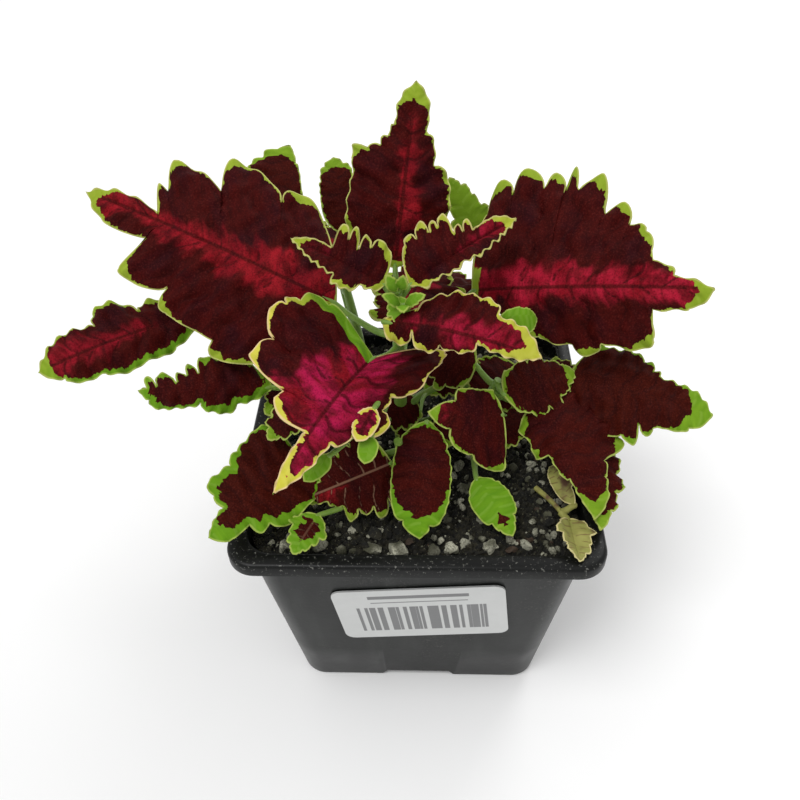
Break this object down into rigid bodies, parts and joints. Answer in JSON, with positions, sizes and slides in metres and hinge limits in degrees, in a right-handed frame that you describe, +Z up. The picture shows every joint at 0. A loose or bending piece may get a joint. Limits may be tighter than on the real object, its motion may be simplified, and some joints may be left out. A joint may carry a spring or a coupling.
{
  "type": "potted coleus",
  "caption": "Bushy young coleus with lobed maroon and crimson leaves edged in yellow-green, standing in a square black nursery pot.",
  "frame": {"origin": "middle of the pot's underside, on the plane its feet stand on", "axes": "+Z up, +X to the right and -Y to the front, the side with the label"},
  "size_m": [0.187, 0.1402, 0.1722],
  "materials": {
    "pot_plastic": "satin",
    "potting_mix": "matte",
    "label_paper": "satin",
    "coleus_leaf": "matte",
    "dry_leaf": "matte"
  },
  "bodies": {
    "root": {"pot": "pot_plastic", "potting_mix": "potting_mix", "label": "label_paper", "leafy_stem_centre": "coleus_leaf", "leafy_stem_right": "coleus_leaf", "leafy_stem_left": "coleus_leaf", "leafy_stem_front": "coleus_leaf", "leafy_stem_back_left": "coleus_leaf", "leafy_stem_back_right": "coleus_leaf", "withered_leaf": "dry_leaf"}
  },
  "joints": []
}
